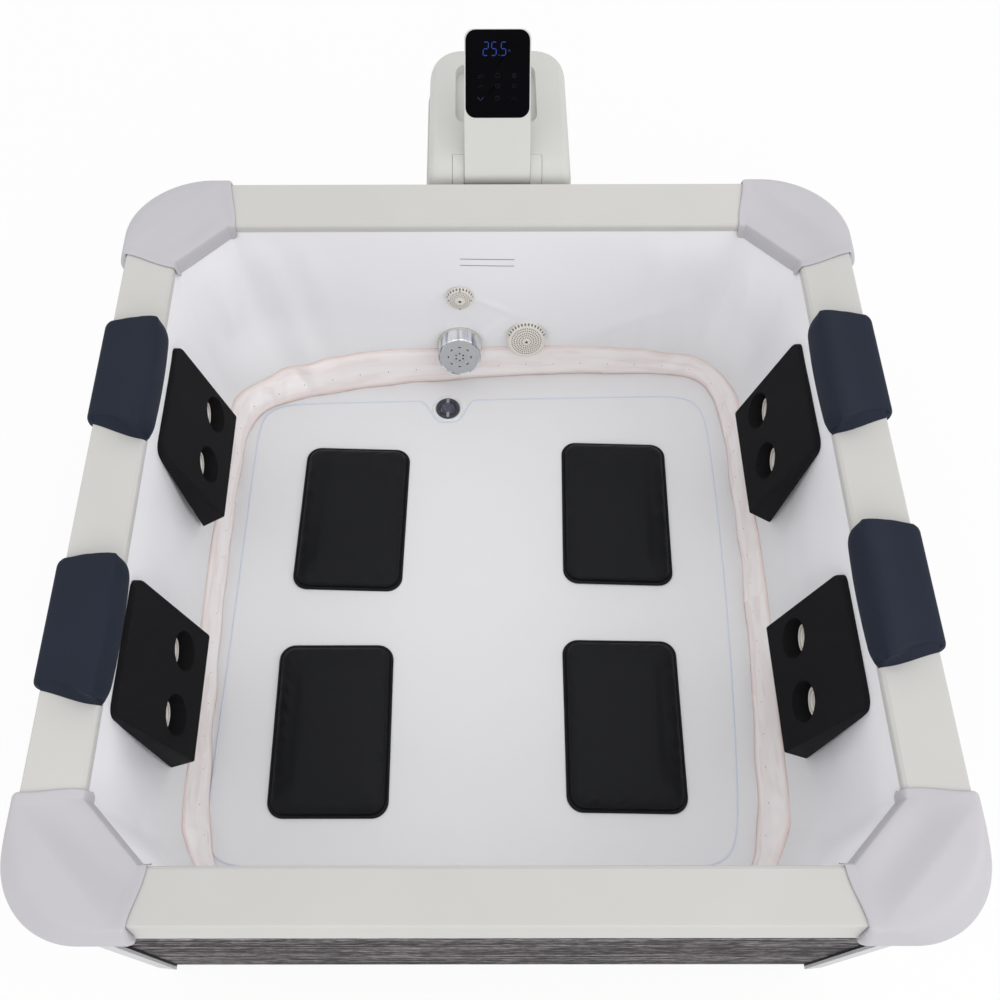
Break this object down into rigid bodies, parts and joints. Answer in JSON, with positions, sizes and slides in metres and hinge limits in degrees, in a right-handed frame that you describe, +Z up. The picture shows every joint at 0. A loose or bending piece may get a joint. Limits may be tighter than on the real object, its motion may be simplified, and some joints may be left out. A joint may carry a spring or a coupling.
{
  "type": "hot tub",
  "caption": "Square rigid-frame hot tub with wood-look side panels, padded headrests and backrests, loose seat cushions, jets, filter and a rear control unit with a folding display arm.",
  "frame": {"origin": "centre of the tub on the floor", "axes": "+Z up, +Y from the tub's centre towards the control unit, +X to the right when facing it"},
  "size_m": [1.872, 2.366, 0.8973],
  "materials": {
    "rail": "satin",
    "cover": "satin",
    "post": "matt",
    "board": "printed grain, matt",
    "liner": "semi-gloss film",
    "film": "glossy film",
    "foam": "foam",
    "mat": "foam",
    "navy_foam": "moulded skin foam, matt",
    "black_foam": "foam, matt",
    "vinyl": "coated fabric, semi-gloss",
    "cream": "satin",
    "chrome": "polished",
    "paper": "pleated paper",
    "unit": "satin",
    "glass": "polished",
    "dark_plastic": "matt",
    "steel": "brushed",
    "board_green": "matt"
  },
  "bodies": {
    "tub": {"air_blower": "dark_plastic", "backrest_left_back": "black_foam", "backrest_left_front": "black_foam", "backrest_right_back": "black_foam", "backrest_right_front": "black_foam", "bubble_channel": "film", "circuit_board": "board_green", "corner_cover_back_left": "cover", "corner_cover_back_right": "cover", "corner_cover_front_left": "cover", "corner_cover_front_right": "cover", "corner_post_back_left": "post", "corner_post_back_right": "post", "corner_post_front_left": "post", "corner_post_front_right": "post", "drain_body": "dark_plastic", "filter_base": "cream", "filter_cartridge": "paper", "ground_mat": "mat", "heater": "steel", "jet_pipe_left": "dark_plastic", "jet_pipe_right": "dark_plastic", "liner": "liner", "rail_back": "rail", "rail_front": "rail", "rail_left": "rail", "rail_right": "rail", "return_grille": "cream", "side_panel_back": "board", "side_panel_front": "board", "side_panel_left": "board", "side_panel_right": "board", "suction_grille": "cream", "unit_cover": "unit", "unit_housing": "unit", "wall_core_back": "foam", "wall_core_front": "foam", "wall_core_left": "foam", "wall_core_right": "foam", "water_pump": "dark_plastic"},
    "control_arm": {"control_arm": "unit", "display_glass": "glass"},
    "headrest_left_back": {"headrest_left_back": "navy_foam"},
    "headrest_left_front": {"headrest_left_front": "navy_foam"},
    "headrest_right_back": {"headrest_right_back": "navy_foam"},
    "headrest_right_front": {"headrest_right_front": "navy_foam"},
    "seat_cushion_left_back": {"seat_cushion_left_back": "vinyl"},
    "seat_cushion_left_front": {"seat_cushion_left_front": "vinyl"},
    "seat_cushion_right_back": {"seat_cushion_right_back": "vinyl"},
    "seat_cushion_right_front": {"seat_cushion_right_front": "vinyl"},
    "jet_nozzle_left_1": {"jet_nozzle_left_1": "cream"},
    "jet_nozzle_left_2": {"jet_nozzle_left_2": "cream"},
    "jet_nozzle_left_3": {"jet_nozzle_left_3": "cream"},
    "jet_nozzle_left_4": {"jet_nozzle_left_4": "cream"},
    "jet_nozzle_right_1": {"jet_nozzle_right_1": "cream"},
    "jet_nozzle_right_2": {"jet_nozzle_right_2": "cream"},
    "jet_nozzle_right_3": {"jet_nozzle_right_3": "cream"},
    "jet_nozzle_right_4": {"jet_nozzle_right_4": "cream"},
    "filter_cap": {"filter_cap": "chrome"},
    "drain_plug": {"drain_plug": "chrome"}
  },
  "joints": [
    {"name": "control_arm_tilt", "type": "hinge", "parent": "tub", "child": "control_arm", "pos_m": [0.028, 0.97, 0.647], "axis": [1, 0, 0], "range_deg": [-40, 45]},
    {"name": "headrest_left_back_slide", "type": "slide", "parent": "tub", "child": "headrest_left_back", "axis": [0, 1, 0], "range_m": [-0.12, 0.12]},
    {"name": "headrest_left_front_slide", "type": "slide", "parent": "tub", "child": "headrest_left_front", "axis": [0, 1, 0], "range_m": [-0.12, 0.12]},
    {"name": "headrest_right_back_slide", "type": "slide", "parent": "tub", "child": "headrest_right_back", "axis": [0, 1, 0], "range_m": [-0.12, 0.12]},
    {"name": "headrest_right_front_slide", "type": "slide", "parent": "tub", "child": "headrest_right_front", "axis": [0, 1, 0], "range_m": [-0.12, 0.12]},
    {"name": "seat_cushion_left_back_lift", "type": "slide", "parent": "tub", "child": "seat_cushion_left_back", "axis": [0, 0, 1], "range_m": [0, 0.45]},
    {"name": "seat_cushion_left_front_lift", "type": "slide", "parent": "tub", "child": "seat_cushion_left_front", "axis": [0, 0, 1], "range_m": [0, 0.45]},
    {"name": "seat_cushion_right_back_lift", "type": "slide", "parent": "tub", "child": "seat_cushion_right_back", "axis": [0, 0, 1], "range_m": [0, 0.45]},
    {"name": "seat_cushion_right_front_lift", "type": "slide", "parent": "tub", "child": "seat_cushion_right_front", "axis": [0, 0, 1], "range_m": [0, 0.45]},
    {"name": "jet_nozzle_left_1_turn", "type": "hinge", "parent": "tub", "child": "jet_nozzle_left_1", "pos_m": [-0.797, -0.411, 0.32], "axis": [1, 0, 0], "range_deg": [0, 90]},
    {"name": "jet_nozzle_left_2_turn", "type": "hinge", "parent": "tub", "child": "jet_nozzle_left_2", "pos_m": [-0.797, -0.255, 0.32], "axis": [1, 0, 0], "range_deg": [0, 90]},
    {"name": "jet_nozzle_left_3_turn", "type": "hinge", "parent": "tub", "child": "jet_nozzle_left_3", "pos_m": [-0.797, 0.26, 0.32], "axis": [1, 0, 0], "range_deg": [0, 90]},
    {"name": "jet_nozzle_left_4_turn", "type": "hinge", "parent": "tub", "child": "jet_nozzle_left_4", "pos_m": [-0.797, 0.416, 0.32], "axis": [1, 0, 0], "range_deg": [0, 90]},
    {"name": "jet_nozzle_right_1_turn", "type": "hinge", "parent": "tub", "child": "jet_nozzle_right_1", "pos_m": [0.797, -0.381, 0.32], "axis": [-1, 0, 0], "range_deg": [0, 90]},
    {"name": "jet_nozzle_right_2_turn", "type": "hinge", "parent": "tub", "child": "jet_nozzle_right_2", "pos_m": [0.797, -0.225, 0.32], "axis": [-1, 0, 0], "range_deg": [0, 90]},
    {"name": "jet_nozzle_right_3_turn", "type": "hinge", "parent": "tub", "child": "jet_nozzle_right_3", "pos_m": [0.797, 0.269, 0.32], "axis": [-1, 0, 0], "range_deg": [0, 90]},
    {"name": "jet_nozzle_right_4_turn", "type": "hinge", "parent": "tub", "child": "jet_nozzle_right_4", "pos_m": [0.797, 0.425, 0.32], "axis": [-1, 0, 0], "range_deg": [0, 90]},
    {"name": "filter_cap_twist", "type": "hinge", "parent": "tub", "child": "filter_cap", "pos_m": [-0.0746, 0.797, 0.1386], "axis": [0, -0.9397, 0.342], "range_deg": [0, 45]},
    {"name": "drain_plug_lift", "type": "slide", "parent": "tub", "child": "drain_plug", "axis": [0, 0, 1], "range_m": [0, 0.06]}
  ]
}
